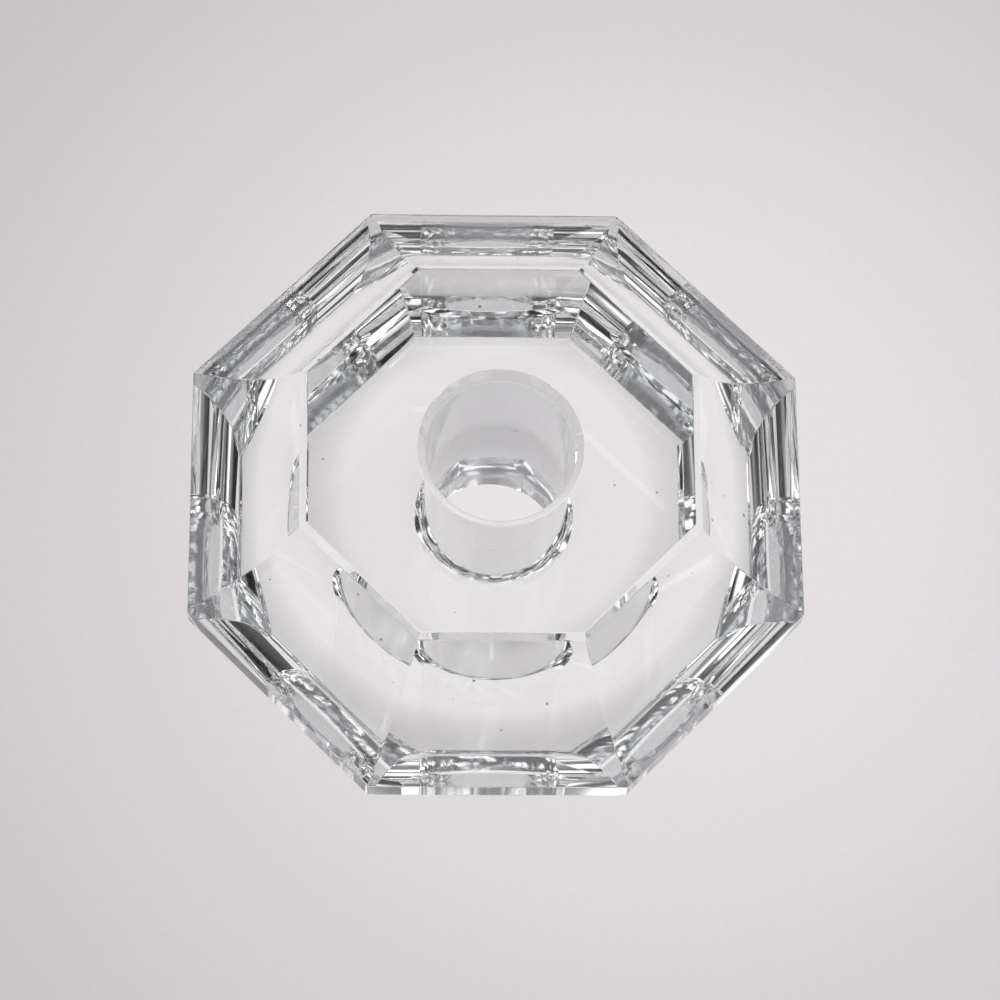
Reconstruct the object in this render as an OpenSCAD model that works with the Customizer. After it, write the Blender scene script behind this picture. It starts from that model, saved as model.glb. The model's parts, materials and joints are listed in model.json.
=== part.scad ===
// Octagonal cut crystal candlestick block with a straight candle bore.
// Two clear blocks are bonded face to face at the widest band, the girdle.
// Millimetres. +Z is up, and the origin is the centre of the foot face.

/* [Body] */
// Width across flats at the girdle
body_af = 95; // [85:1:130]
// Height of the upright girdle band
girdle_h = 4.5; // [2:0.5:8]

/* [Crown block] */
// Width across flats of the flat table on top
table_af = 60.5; // [45:0.5:68]
// Height from the girdle up to the table
crown_h = 19.5; // [12:0.5:30]
// How much the crown's hollow facet turns between its two edges, in degrees
crown_turn = 38; // [5:1:40]

/* [Foot block] */
// Width across flats of the flat foot face
foot_af = 60.5; // [45:0.5:68]
// Height from the foot face up to the girdle
foot_h = 23.5; // [12:0.5:30]
// How much the foot's hollow facet turns between its two edges, in degrees
foot_turn = 24; // [5:1:40]

/* [Candle bore] */
// Diameter of the taper candle that the bore takes
candle_d = 22.2; // [12:0.1:30]
// Clearance around the candle, on the radius
candle_gap = 0.15; // [0.05:0.05:1]
// Size of the bore's chamfer, at the table and at the foot face
bore_chamfer = 1.4; // [0.5:0.1:2.5]

/* [Edges and bond] */
// Size of the flat chamfer around the table and around the foot face
face_chamfer = 1; // [0.5:0.1:1.5]
// Thickness of the clear adhesive between the two blocks
bond_t = 0.1; // [0.05:0.05:0.3]

/* [Hidden] */
sides = 8;
side_angle = 360 / sides;
cut_margin = 1;
cut_l = 2 * body_af;
cove_steps = 8;
bore_r = candle_d / 2 + candle_gap;
bond_z = foot_h + girdle_h / 2;
round_fn = 180;
clear_glass = [0.86, 0.89, 0.89, 0.45];
clear_adhesive = [0.92, 0.93, 0.9, 0.5];

// In one block's side view, the hollow facet runs from its rim to its edge.
function rim_point(skirt_h) = [body_af / 2, skirt_h];
function edge_point(face_af, block_h) = [face_af / 2, block_h - face_chamfer];

// Points along the arc that turns by this angle on its way from the rim to the edge.
// Its centre is out in the open air beside the facet.
function cove_points(rim, edge, turn) =
    let (
        chord = edge - rim,
        radius = norm(chord) / 2 / sin(turn / 2),
        outward = [chord[1], -chord[0]] / norm(chord),
        centre = (rim + edge) / 2 + outward * radius * cos(turn / 2),
        start = atan2(rim[1] - centre[1], rim[0] - centre[0])
    )
    [
        rim,
        for (step = [1 : cove_steps - 1])
            let (angle = start - turn * step / cove_steps)
            centre + radius * [cos(angle), sin(angle)],
        edge
    ];

// What one side's hollow facet and chamfer take away, on the side that faces +X.
module side_cut(face_af, block_h, skirt_h, turn) {
    rim = rim_point(skirt_h);
    edge = edge_point(face_af, block_h);
    past_chamfer = face_chamfer + cut_margin;
    rotate([90, 0, 0])
        linear_extrude(height = cut_l, center = true)
            polygon(concat(
                cove_points(rim, edge, turn),
                [
                    edge + [-past_chamfer, past_chamfer],
                    [rim[0] + cut_margin, edge[1] + past_chamfer],
                    rim + [cut_margin, 0]
                ]
            ));
}

// A plain octagon with one flat side facing +X.
module octagon(across_flats, height) {
    rotate([0, 0, side_angle / 2])
        cylinder(r = across_flats / 2 / cos(side_angle / 2), h = height, $fn = sides);
}

// Eight equal facets, which meet in mitred corners.
module octagonal_block(face_af, block_h, skirt_h, turn) {
    difference() {
        octagon(body_af, block_h);
        for (side = [0 : sides - 1])
            rotate([0, 0, side * side_angle])
                side_cut(face_af, block_h, skirt_h, turn);
    }
}

// The candle bore through one block, opened by a chamfer at the block's flat face.
module bore_cut(block_h) {
    translate([0, 0, -cut_margin])
        cylinder(r = bore_r, h = block_h + 2 * cut_margin, $fn = round_fn);
    translate([0, 0, block_h - bore_chamfer])
        cylinder(
            r1 = bore_r,
            r2 = bore_r + bore_chamfer + cut_margin,
            h = bore_chamfer + cut_margin,
            $fn = round_fn
        );
}

// A bored block with its bond face on z = 0 and its flat face on top.
module bored_block(face_af, facet_h, turn) {
    skirt_h = (girdle_h - bond_t) / 2;
    block_h = facet_h + skirt_h;
    difference() {
        octagonal_block(face_af, block_h, skirt_h, turn);
        bore_cut(block_h);
    }
}

module foot_block() {
    color(clear_glass)
        translate([0, 0, bond_z - bond_t / 2])
            mirror([0, 0, 1])
                bored_block(foot_af, foot_h, foot_turn);
}

module bond_layer() {
    color(clear_adhesive)
        translate([0, 0, bond_z - bond_t / 2])
            difference() {
                octagon(body_af, bond_t);
                translate([0, 0, -cut_margin])
                    cylinder(r = bore_r, h = bond_t + 2 * cut_margin, $fn = round_fn);
            }
}

module crown_block() {
    color(clear_glass)
        translate([0, 0, bond_z + bond_t / 2])
            bored_block(table_af, crown_h, crown_turn);
}

foot_block();
bond_layer();
crown_block();
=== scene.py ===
import json
import math

import bmesh
import bpy
from mathutils import Matrix, Vector

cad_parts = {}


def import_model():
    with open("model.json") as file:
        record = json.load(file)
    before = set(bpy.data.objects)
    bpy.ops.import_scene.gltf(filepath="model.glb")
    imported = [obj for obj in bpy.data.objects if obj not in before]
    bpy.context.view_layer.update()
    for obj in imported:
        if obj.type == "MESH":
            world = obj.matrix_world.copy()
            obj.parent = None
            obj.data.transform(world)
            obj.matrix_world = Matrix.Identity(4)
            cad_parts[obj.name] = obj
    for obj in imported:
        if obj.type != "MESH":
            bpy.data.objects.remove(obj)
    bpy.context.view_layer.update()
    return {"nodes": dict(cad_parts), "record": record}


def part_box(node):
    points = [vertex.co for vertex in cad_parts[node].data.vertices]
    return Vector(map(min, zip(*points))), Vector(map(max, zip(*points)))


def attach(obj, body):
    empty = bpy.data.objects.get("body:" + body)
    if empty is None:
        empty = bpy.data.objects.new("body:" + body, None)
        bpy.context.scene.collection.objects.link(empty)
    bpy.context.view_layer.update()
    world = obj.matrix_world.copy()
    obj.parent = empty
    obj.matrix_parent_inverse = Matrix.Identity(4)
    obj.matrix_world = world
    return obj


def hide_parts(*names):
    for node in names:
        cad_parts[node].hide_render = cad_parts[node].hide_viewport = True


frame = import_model()

# ---------------------------------------------------------------- sizes, in metres
MM = 0.001
SIDES = 8
SIDE_ANGLE = math.tau / SIDES
CORNER_SLOPE = math.tan(SIDE_ANGLE / 2)

BOND_LOW, BOND_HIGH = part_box("bond_layer")[0].z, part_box("bond_layer")[1].z
TABLE_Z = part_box("crown_block")[1].z
BORE_R = next(m for m in frame["record"]["mounts"] if m["name"] == "candle_bore")["dims"]["r_mm"] * MM

NEAR = 0.001 * MM  # two points closer than this are in the same place
BORE_ZONE = 1.5 * BORE_R  # nothing but the bore and its chamfers lies this near the axis
BORE_WALL = 1.02 * BORE_R  # the bore's wall lies within this, and its chamfers outside it
LEVEL = 0.99  # a face whose normal has more z than this lies level
UPRIGHT = 0.1  # a face whose normal has less z than this stands upright
FACET_STEPS = 28  # strips along each hollow facet
BORE_STEPS = 144  # sides of the drawn bore, a whole number of them to each side of the block
ARRIS = 0.16 * MM  # how far the polishing rounds each sharp edge
ARRIS_ANGLE = math.radians(10)  # an edge that turns more than this is a sharp one
SMOOTH_ANGLE = math.radians(50)  # an edge that turns less than this is shaded smooth
FLOOR_GAP = 0.05 * MM  # the air under the foot face
FLOOR_SIZE = 12.0

# How light the floor is, as (metres, light), all of it painted into its glow: a painted pool of light by the
# distance from its brightest spot, and then, as a share of that, by the distance from about the block's axis:
# painted light under the foot face and inside the bore, and painted shadow where the overhang shades it.
GLOW_CENTRE = (0.025, 0.010, 0)
GLOW_REACH = 0.6
FLOOR_GLOW = [
    (0, 0.775),
    (0.045, 0.755),
    (0.065, 0.72),
    (0.085, 0.67),
    (0.11, 0.62),
    (0.125, 0.58),
    (0.2, 0.48),
    (0.4, 0.41),
    (0.6, 0.40),
]
SHADE_CENTRE = (0, 0.004, 0)
SHADE_REACH = 0.06
# painted light under the foot face and inside the bore, then painted shadow under the overhang
FLOOR_PAINTED_SHADE_AND_LIGHT = [
    (0, 1.05),
    (0.012, 1.05),
    (0.016, 1.10),
    (0.024, 1.10),
    (0.0265, 0.97),
    (0.029, 0.88),
    (0.032, 0.80),
    (0.042, 0.79),
    (0.046, 1.0),
]

# ---------------------------------------------------------------- glass and surroundings
GLASS_IOR = 1.52
SPECKS_PER_METRE = 150
SPECK_EDGE = (0.030, 0.045)  # where a speck's middle ends and the clear glass begins, in its own cell
SPECK_COLOUR = (0.34, 0.29, 0.24)
WAVE_DEPTH = 0.008 * MM
SCRATCH_DEPTH = 0.003 * MM
GLASS_BOUNCES = 24  # how often light may turn inside the glass
BOND_PASSES = 128  # how often it may cross the see-through bonded faces

# The surroundings by height, from the horizon to straight above, as (sine of the elevation, light).
SKY_BANDS = [
    (0.00, 0.02),
    (0.20, 0.05),
    (0.28, 0.50),
    (0.45, 0.75),
    (0.60, 0.45),
    (0.75, 0.60),
    (0.90, 0.50),
    (1.00, 0.80),
]

# The soft lights: name, azimuth and elevation in degrees, width and height in metres, and radiance.
SOFTBOX_DISTANCE = 1.1
SOFTBOXES = [
    ("softbox_left", 124, 19, 0.40, 0.22, 1.5),
    ("softbox_right", 56, 19, 0.40, 0.22, 1.5),
    ("softbox_back", 92, 14, 0.45, 0.18, 1.5),
    ("softbox_front", 264, 54, 0.10, 0.16, 3.0),
]


# ---------------------------------------------------------------- meshes
def corner_profile(node):
    """The node's outline along its corner, as (distance to the flat, height), from the bond face outwards."""
    found = set()
    for vertex in frame["nodes"][node].data.vertices:
        x, y, z = vertex.co
        if x > BORE_ZONE and abs(y - x * CORNER_SLOPE) < NEAR:
            found.add((round(x, 7), round(z, 7)))
    middle = (BOND_LOW + BOND_HIGH) / 2
    return sorted(found, key=lambda point: abs(point[1] - middle))


def bore_profile(node):
    """The node's bore, as (radius, height), from the bond face outwards."""
    found = set()
    for vertex in frame["nodes"][node].data.vertices:
        radius = math.hypot(vertex.co.x, vertex.co.y)
        if radius < BORE_ZONE:
            found.add((round(radius, 6), round(vertex.co.z, 6)))
    middle = (BOND_LOW + BOND_HIGH) / 2
    return sorted(found, key=lambda point: (abs(point[1] - middle), point[0]))


def arc_through(first, middle, last, steps):
    """Points along the circle through three points, ends included."""
    (ax, az), (bx, bz), (cx, cz) = first, middle, last
    twice_area = 2 * (ax * (bz - cz) + bx * (cz - az) + cx * (az - bz))
    a2, b2, c2 = ax * ax + az * az, bx * bx + bz * bz, cx * cx + cz * cz
    centre_x = (a2 * (bz - cz) + b2 * (cz - az) + c2 * (az - bz)) / twice_area
    centre_z = (a2 * (cx - bx) + b2 * (ax - cx) + c2 * (bx - ax)) / twice_area
    radius = math.hypot(ax - centre_x, az - centre_z)
    start = math.atan2(az - centre_z, ax - centre_x)
    end = math.atan2(cz - centre_z, cx - centre_x)
    turn = (end - start + math.pi) % math.tau - math.pi
    angles = [start + turn * step / steps for step in range(steps + 1)]
    return [(centre_x + radius * math.cos(a), centre_z + radius * math.sin(a)) for a in angles]


def outer_rings(node):
    """The corner profile with its hollow facet drawn again in fine steps."""
    points = corner_profile(node)
    cove = points[1:-1]
    return [points[0]] + arc_through(cove[0], cove[len(cove) // 2], cove[-1], FACET_STEPS) + [points[-1]]


def octagon_ring(bm, flat, z):
    reach = flat / math.cos(SIDE_ANGLE / 2)
    angles = [(side + 0.5) * SIDE_ANGLE for side in range(SIDES)]
    return [bm.verts.new((reach * math.cos(a), reach * math.sin(a), z)) for a in angles]


def round_ring(bm, radius, z):
    angles = [SIDE_ANGLE / 2 + math.tau * step / BORE_STEPS for step in range(BORE_STEPS)]
    return [bm.verts.new((radius * math.cos(a), radius * math.sin(a), z)) for a in angles]


def bridge(bm, ring, following):
    count = len(ring)
    for i in range(count):
        j = (i + 1) % count
        bm.faces.new((ring[i], ring[j], following[j], following[i]))


def cap(bm, octagon, circle):
    """Closes the ring-shaped face between an octagon and a circle, with one face to a side."""
    share = BORE_STEPS // SIDES
    for side in range(SIDES):
        arc = [circle[(side * share + step) % BORE_STEPS] for step in range(share + 1)]
        bm.faces.new([octagon[side], octagon[(side + 1) % SIDES]] + arc[::-1])


def bored_octagon(name, outside, inside):
    """A closed octagonal ring, from outside, [(flat, z)], and inside, [(radius, z)].

    Both run from the bond face to the other face.
    """
    bm = bmesh.new()
    outer = [octagon_ring(bm, flat, z) for flat, z in outside]
    inner = [round_ring(bm, radius, z) for radius, z in inside]
    for rings in (outer, inner):
        for ring, following in zip(rings, rings[1:]):
            bridge(bm, ring, following)
    cap(bm, outer[0], inner[0])
    cap(bm, outer[-1], inner[-1])
    bmesh.ops.recalc_face_normals(bm, faces=bm.faces)
    mesh = bpy.data.meshes.new(name)
    bm.to_mesh(mesh)
    bm.free()
    piece = bpy.data.objects.new(name, mesh)
    bpy.context.scene.collection.objects.link(piece)
    return piece


def apply_modifiers(piece):
    graph = bpy.context.evaluated_depsgraph_get()
    shaped = bpy.data.meshes.new_from_object(piece.evaluated_get(graph), depsgraph=graph)
    piece.modifiers.clear()
    piece.data = shaped


def polish_edges(piece, bond_z):
    """Rounds every sharp edge but those of the bond face, and keeps the flats flat."""
    bm = bmesh.new()
    bm.from_mesh(piece.data)
    sharp = [
        edge
        for edge in bm.edges
        if edge.calc_face_angle() > ARRIS_ANGLE and any(abs(v.co.z - bond_z) >= NEAR for v in edge.verts)
    ]
    bmesh.ops.bevel(bm, geom=sharp, offset=ARRIS, segments=2, profile=0.5, affect="EDGES", clamp_overlap=True)
    for edge in bm.edges:
        edge.smooth = edge.calc_face_angle() < SMOOTH_ANGLE
    bm.to_mesh(piece.data)
    bm.free()
    for face in piece.data.polygons:
        face.use_smooth = True
    weighted = piece.modifiers.new("flats", "WEIGHTED_NORMAL")
    weighted.weight = 100
    weighted.keep_sharp = True
    apply_modifiers(piece)


# ---------------------------------------------------------------- materials
def new_material(name):
    material = bpy.data.materials.new(name)
    material.use_nodes = True
    return material, material.node_tree, material.node_tree.nodes["Principled BSDF"]


def ramp(tree, source, stops):
    """The colour of a ramp on a 0 to 1 value. stops is [(position, (red, green, blue))], in rising order."""
    node = tree.nodes.new("ShaderNodeValToRGB")
    tree.links.new(source, node.inputs["Fac"])
    elements = node.color_ramp.elements
    for element, (position, colour) in ((elements[0], stops[0]), (elements[-1], stops[-1])):
        element.position = position
        element.color = (*colour, 1)
    for position, colour in stops[1:-1]:
        elements.new(position).color = (*colour, 1)
    return node.outputs["Color"]


def multiply(tree, one, other):
    node = tree.nodes.new("ShaderNodeVectorMath")
    node.operation = "MULTIPLY"
    tree.links.new(one, node.inputs[0])
    tree.links.new(other, node.inputs[1])
    return node.outputs["Vector"]


def grey(light, warmth=0.0):
    return (light * (1 + warmth), light, light * (1 - warmth))


def paper(light):
    """The floor's white, a little warm."""
    return (light, light * 0.955, light * 0.967)


def noise(tree, where, scale, detail=2.0, stretch=(1, 1, 1), turn=0.0):
    """Soft noise in object space, stretched and then turned about Z by degrees."""
    mapping = tree.nodes.new("ShaderNodeMapping")
    mapping.inputs["Scale"].default_value = stretch
    mapping.inputs["Rotation"].default_value = (0, 0, math.radians(turn))
    node = tree.nodes.new("ShaderNodeTexNoise")
    node.inputs["Scale"].default_value = scale
    node.inputs["Detail"].default_value = detail
    tree.links.new(where, mapping.inputs["Vector"])
    tree.links.new(mapping.outputs["Vector"], node.inputs["Vector"])
    return node.outputs["Fac"]


def bump(tree, height, strength, depth, normal=None):
    node = tree.nodes.new("ShaderNodeBump")
    node.inputs["Strength"].default_value = strength
    node.inputs["Distance"].default_value = depth
    tree.links.new(height, node.inputs["Height"])
    if normal:
        tree.links.new(normal, node.inputs["Normal"])
    return node.outputs["Normal"]


def crystal(name, tint, dull, clearness, scratches):
    """Polished glass with a faint waviness, hairline scratches, a haze that comes and goes, and a few specks.

    dull is the least roughness, clearness is how much of the light the surface lets through without
    scattering it, and scratches is how strong the hairlines are.
    """
    material, tree, shader = new_material(name)
    where = tree.nodes.new("ShaderNodeTexCoord").outputs["Object"]
    speck = tree.nodes.new("ShaderNodeTexVoronoi")
    speck.inputs["Scale"].default_value = SPECKS_PER_METRE
    tree.links.new(where, speck.inputs["Vector"])
    from_speck = speck.outputs["Distance"]
    inner, outer = SPECK_EDGE
    haze = ramp(tree, noise(tree, where, scale=70), [(0.45, grey(dull)), (0.75, grey(dull + 0.03))])
    clear = ramp(tree, from_speck, [(inner, grey(0.35 * clearness)), (outer, grey(clearness))])
    colour = ramp(tree, from_speck, [(inner, SPECK_COLOUR), (outer, tint)])
    hairlines = ramp(
        tree,
        noise(tree, where, scale=60, detail=0.0, stretch=(0.35, 14, 1), turn=24),
        [(0.487, grey(1.0)), (0.5, grey(0.0)), (0.513, grey(1.0))],
    )
    waves = bump(tree, noise(tree, where, scale=55, detail=1.0), strength=1.0, depth=WAVE_DEPTH)
    normal = bump(tree, hairlines, strength=scratches, depth=SCRATCH_DEPTH, normal=waves)
    shader.inputs["IOR"].default_value = GLASS_IOR
    tree.links.new(haze, shader.inputs["Roughness"])
    tree.links.new(clear, shader.inputs["Transmission Weight"])
    tree.links.new(colour, shader.inputs["Base Color"])
    tree.links.new(normal, shader.inputs["Normal"])
    return material


def unseen_joint(name):
    """Both sides of a bonded face: the adhesive has the glass's own index, so light goes straight through."""
    material, _, shader = new_material(name)
    shader.inputs["Alpha"].default_value = 0.0
    return material


# ---------------------------------------------------------------- pieces
CLEAR, BONDED, BORED = 0, 1, 2  # each block's material slots


def block(name, node, bond_z, finishes):
    """One glass block, drawn from its CAD node, with its bonded face at bond_z."""
    piece = bored_octagon(name, outer_rings(node), bore_profile(node))
    polish_edges(piece, bond_z)
    for finish in finishes:
        piece.data.materials.append(finish)
    for face in piece.data.polygons:
        if abs(face.normal.z) > LEVEL and abs(face.center.z - bond_z) < NEAR:
            face.material_index = BONDED
        elif abs(face.normal.z) < UPRIGHT and math.hypot(face.center.x, face.center.y) < BORE_WALL:
            face.material_index = BORED
    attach(piece, "root")
    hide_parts(node)


def bond_film(glass, joint):
    """The adhesive between the blocks, which only its outer edge and its bore show."""
    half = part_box("bond_layer")[1].x
    outside = [(half, BOND_LOW), (half, BOND_HIGH)]
    inside = [(BORE_R, BOND_LOW), (BORE_R, BOND_HIGH)]
    film = bored_octagon("bond_film", outside, inside)
    film.data.materials.append(glass)
    film.data.materials.append(joint)
    for face in film.data.polygons:
        face.material_index = BONDED if abs(face.normal.z) > LEVEL else CLEAR
    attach(film, "root")
    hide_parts("bond_layer")


# ---------------------------------------------------------------- stage, light and camera
def distance_from(tree, where, centre, reach):
    """How far a point is from the centre, as a share of the reach."""
    scaled = tree.nodes.new("ShaderNodeMapping")
    scaled.inputs["Location"].default_value = tuple(-c / reach for c in centre)
    scaled.inputs["Scale"].default_value = (1 / reach, 1 / reach, 1 / reach)
    length = tree.nodes.new("ShaderNodeVectorMath")
    length.operation = "LENGTH"
    tree.links.new(where, scaled.inputs["Vector"])
    tree.links.new(scaled.outputs["Vector"], length.inputs[0])
    return length.outputs["Value"]


def floor_material():
    """Pale paper that gives its own light: a painted pool of light near the block, painted light under its
    foot, and painted shadow beneath its overhang.
    """
    material, tree, shader = new_material("pale_floor")
    where = tree.nodes.new("ShaderNodeTexCoord").outputs["Object"]
    # painted pool of light: the floor glows brightest round a spot near the block and dims away from it
    glow = ramp(
        tree,
        distance_from(tree, where, GLOW_CENTRE, GLOW_REACH),
        [(metres / GLOW_REACH, paper(light)) for metres, light in FLOOR_GLOW],
    )
    # painted light under the foot face and painted shadow beneath the overhang, as a share of the glow
    shade = ramp(
        tree,
        distance_from(tree, where, SHADE_CENTRE, SHADE_REACH),
        [(metres / SHADE_REACH, grey(light)) for metres, light in FLOOR_PAINTED_SHADE_AND_LIGHT],
    )
    grain = ramp(tree, noise(tree, where, scale=900, detail=3), [(0.3, grey(0.985)), (0.7, grey(1.01))])
    light = multiply(tree, multiply(tree, glow, shade), grain)
    tree.links.new(light, shader.inputs["Emission Color"])
    shader.inputs["Emission Strength"].default_value = 1.0
    shader.inputs["Base Color"].default_value = (*grey(0.04), 1)
    shader.inputs["Roughness"].default_value = 0.8
    shader.inputs["Specular IOR Level"].default_value = 0.0
    return material


def floor():
    bm = bmesh.new()
    bmesh.ops.create_grid(bm, x_segments=2, y_segments=2, size=FLOOR_SIZE / 2)
    mesh = bpy.data.meshes.new("floor")
    bm.to_mesh(mesh)
    bm.free()
    mesh.materials.append(floor_material())
    sheet = bpy.data.objects.new("floor", mesh)
    sheet.location.z = -FLOOR_GAP
    bpy.context.scene.collection.objects.link(sheet)


def world():
    """Soft grey surroundings in bands of height, mottled like a room, for the cut facets to break up."""
    studio = bpy.data.worlds.new("studio")
    bpy.context.scene.world = studio
    studio.use_nodes = True
    tree = studio.node_tree
    where = tree.nodes.new("ShaderNodeTexCoord").outputs["Generated"]
    split = tree.nodes.new("ShaderNodeSeparateXYZ")
    tree.links.new(where, split.inputs[0])
    bands = ramp(tree, split.outputs["Z"], [(height, grey(light)) for height, light in SKY_BANDS])
    mottle = ramp(
        tree,
        noise(tree, where, scale=2.2, detail=1.0),
        [(0.42, grey(0.02)), (0.49, grey(0.20)), (0.55, grey(0.62)), (0.60, grey(2.3, warmth=-0.02))],
    )
    tree.links.new(multiply(tree, bands, mottle), tree.nodes["Background"].inputs["Color"])


def softbox(name, azimuth, elevation, width, height, radiance):
    """A rectangular studio light that faces the block."""
    data = bpy.data.lights.new(name, "AREA")
    data.shape = "RECTANGLE"
    data.size = width
    data.size_y = height
    data.energy = radiance * math.pi * width * height
    turn = math.radians(azimuth)
    rise = math.radians(elevation)
    away = Vector((math.cos(rise) * math.cos(turn), math.cos(rise) * math.sin(turn), math.sin(rise)))
    lamp = bpy.data.objects.new(name, data)
    lamp.location = away * SOFTBOX_DISTANCE
    lamp.rotation_euler = away.to_track_quat("Z", "Y").to_euler()
    bpy.context.scene.collection.objects.link(lamp)


def camera():
    """The photograph's view: high up, a little to one side, with the picture rolled to match."""
    turn = math.radians(-6.3)
    tilt = math.radians(69.6)
    roll = math.radians(6.3)
    distance = 516.8 * MM
    aim = Vector((0.74 * MM, -8.44 * MM, TABLE_Z))
    back = Vector((0, -math.cos(tilt), math.sin(tilt)))
    right = Vector((1, 0, 0))
    up = Vector((0, math.sin(tilt), math.cos(tilt)))
    across = right * math.cos(roll) + up * math.sin(roll)
    upward = -right * math.sin(roll) + up * math.cos(roll)
    data = bpy.data.cameras.new("camera")
    data.sensor_width = 36
    data.lens = 124.4
    data.clip_start = 0.01
    viewer = bpy.data.objects.new("camera", data)
    bpy.context.scene.collection.objects.link(viewer)
    axes = Matrix((across, upward, back)).transposed().to_4x4()
    spin = Matrix.Rotation(turn, 4, "Z")
    viewer.matrix_world = spin @ Matrix.Translation(aim + back * distance) @ axes
    bpy.context.scene.camera = viewer


def render_settings():
    """Plain tones, and enough bounces for light to find its way through the cut glass."""
    scene = bpy.context.scene
    scene.view_settings.view_transform = "Standard"
    scene.cycles.max_bounces = GLASS_BOUNCES
    scene.cycles.transmission_bounces = GLASS_BOUNCES
    scene.cycles.glossy_bounces = GLASS_BOUNCES
    scene.cycles.transparent_max_bounces = BOND_PASSES


clear_glass = crystal("clear_crystal", (0.985, 0.995, 0.99), dull=0.0, clearness=1.0, scratches=0.12)
bore_glass = crystal("bore_polish", (0.87, 0.885, 0.91), dull=0.05, clearness=0.60, scratches=0.0)
bonded = unseen_joint("bonded_face")
finishes = (clear_glass, bonded, bore_glass)
block("crown_crystal_block", "crown_block", BOND_HIGH, finishes)
block("foot_crystal_block", "foot_block", BOND_LOW, finishes)
bond_film(clear_glass, bonded)

floor()
world()
for box in SOFTBOXES:
    softbox(*box)
camera()
render_settings()
